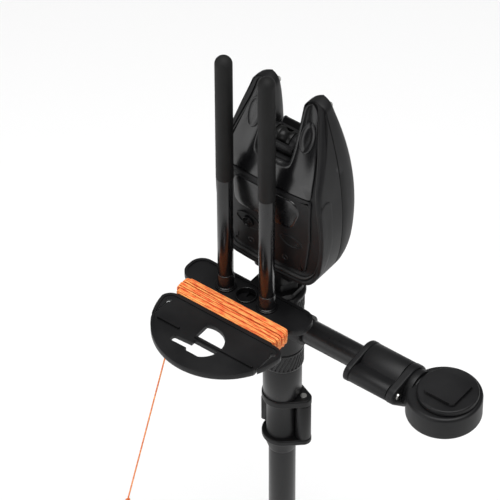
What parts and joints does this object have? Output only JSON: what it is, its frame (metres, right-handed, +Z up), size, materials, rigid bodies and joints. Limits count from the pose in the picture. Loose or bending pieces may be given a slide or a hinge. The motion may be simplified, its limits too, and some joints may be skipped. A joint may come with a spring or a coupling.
{
  "type": "bank stick bite alarm with cord winder",
  "caption": "Telescopic bank stick with cam clamps carrying an electronic bite alarm, a side arm and a notched cord winder plate with upright posts.",
  "frame": {"origin": "on the leg's axis where the ground spike enters the ground", "axes": "+Z up the leg, +X along the side arm, the alarm and the winder face -Y"},
  "size_m": [0.1677, 0.0938, 0.401],
  "materials": {
    "black_anodised": "satin black anodised",
    "moulded_black": "fine moulded texture",
    "gloss_black": "polished black",
    "soft_shell": "soft-touch black",
    "sleeve_rubber": "matte sleeve",
    "gasket_rubber": "matte seal",
    "bright_steel": "polished pin",
    "dark_steel": "blacked steel",
    "orange_cord": "braided line",
    "gold_contact": "plated contact",
    "clear_lens": "clear lens",
    "board_green": "circuit board",
    "cell_wrap": "printed sleeve without text",
    "roller_plastic": "polished roller"
  },
  "bodies": {
    "leg_rod": {"leg_inner_tube": "black_anodised", "ground_spike": "dark_steel"},
    "leg_head": {"leg_outer_tube": "black_anodised", "leg_top_plug": "dark_steel", "leg_clamp_body": "moulded_black", "leg_clamp_pin": "bright_steel"},
    "leg_lever": {"leg_clamp_lever": "moulded_black"},
    "lower_ring": {"lower_lock_ring": "moulded_black"},
    "crossarm": {"crossarm_boss": "moulded_black", "crossarm_tube": "black_anodised"},
    "upper_ring": {"upper_lock_ring": "moulded_black"},
    "arm_end": {"arm_clamp_body": "moulded_black", "arm_clamp_pin": "bright_steel", "hub_drum": "moulded_black"},
    "arm_lever": {"arm_clamp_lever": "moulded_black"},
    "knob": {"hub_knob": "moulded_black", "hub_bolt": "dark_steel"},
    "winder": {"bracket_arm": "moulded_black", "bracket_screws": "dark_steel", "winder_plate": "moulded_black", "spare_socket_bush": "gloss_black", "post_socket_bushes": "gloss_black", "cord_winding": "orange_cord", "cord_run": "orange_cord", "cord_ring": "dark_steel"},
    "left_post": {"left_post_ferrule": "gloss_black", "left_post_rod": "gloss_black", "left_post_sleeve": "sleeve_rubber"},
    "right_post": {"right_post_ferrule": "gloss_black", "right_post_rod": "gloss_black", "right_post_sleeve": "sleeve_rubber"},
    "alarm": {"alarm_front_shell": "soft_shell", "alarm_rear_shell": "soft_shell", "scoop_panel": "gloss_black", "front_gasket": "gasket_rubber", "ear_pads": "soft_shell", "face_panel": "gloss_black", "face_window": "gloss_black", "button_bezel": "gloss_black", "face_screws": "dark_steel", "side_hatches": "soft_shell", "case_screws": "dark_steel", "left_led": "clear_lens", "right_led": "clear_lens", "jack_socket": "gloss_black", "jack_contacts": "gold_contact", "roller_axle": "bright_steel", "roller_cradle": "moulded_black", "circuit_board": "board_green", "speaker": "dark_steel", "battery": "cell_wrap", "alarm_neck": "moulded_black", "alarm_stud": "dark_steel", "neck_nut": "moulded_black"},
    "roller": {"line_roller": "roller_plastic"},
    "button": {"power_button": "moulded_black"},
    "door": {"battery_door": "soft_shell"}
  },
  "joints": [
    {"name": "leg_slide", "type": "slide", "parent": "leg_rod", "child": "leg_head", "axis": [0, 0, 1], "range_m": [0, 0.03]},
    {"name": "leg_lever_turn", "type": "hinge", "parent": "leg_head", "child": "leg_lever", "pos_m": [0.01123, 0.00198, 0.13], "axis": [0, 0, -1], "range_deg": [0, 95]},
    {"name": "lower_ring_turn", "type": "hinge", "parent": "leg_head", "child": "lower_ring", "pos_m": [0, 0, 0.174], "axis": [0, 0, 1], "range_deg": [-180, 180]},
    {"name": "crossarm_turn", "type": "hinge", "parent": "leg_head", "child": "crossarm", "pos_m": [0, 0, 0.192], "axis": [0, 0, 1], "range_deg": [-180, 180]},
    {"name": "upper_ring_turn", "type": "hinge", "parent": "crossarm", "child": "upper_ring", "pos_m": [0, 0, 0.211], "axis": [0, 0, 1], "range_deg": [-180, 180]},
    {"name": "arm_slide", "type": "slide", "parent": "crossarm", "child": "arm_end", "axis": [1, 0, 0], "range_m": [0, 0.02]},
    {"name": "arm_lever_turn", "type": "hinge", "parent": "arm_end", "child": "arm_lever", "pos_m": [0.0615, -0.01281, 0.20012], "axis": [1, 0, 0], "range_deg": [0, 95]},
    {"name": "hub_knob_turn", "type": "hinge", "parent": "arm_end", "child": "knob", "pos_m": [0.0954, 0, 0.2027], "axis": [0, 0, 1], "continuous": true},
    {"name": "bracket_turn", "type": "hinge", "parent": "crossarm", "child": "winder", "pos_m": [0, 0, 0.2185], "axis": [0, 0, 1], "range_deg": [-40, 40]},
    {"name": "left_post_lift", "type": "slide", "parent": "winder", "child": "left_post", "axis": [0, 0, 1], "range_m": [0, 0.01]},
    {"name": "right_post_lift", "type": "slide", "parent": "winder", "child": "right_post", "axis": [0, 0, 1], "range_m": [0, 0.01]},
    {"name": "alarm_turn", "type": "hinge", "parent": "winder", "child": "alarm", "pos_m": [0, 0, 0.228], "axis": [0, 0, 1], "range_deg": [-10, 4]},
    {"name": "roller_spin", "type": "hinge", "parent": "alarm", "child": "roller", "pos_m": [0, 0.0025, 0.3085], "axis": [1, 0, 0], "continuous": true},
    {"name": "button_press", "type": "slide", "parent": "alarm", "child": "button", "axis": [0, 1, 0], "range_m": [0, 0.001], "stiffness_N_per_m": 300},
    {"name": "battery_door_pull", "type": "slide", "parent": "alarm", "child": "door", "axis": [0, 1, 0], "range_m": [0, 0.012]}
  ]
}
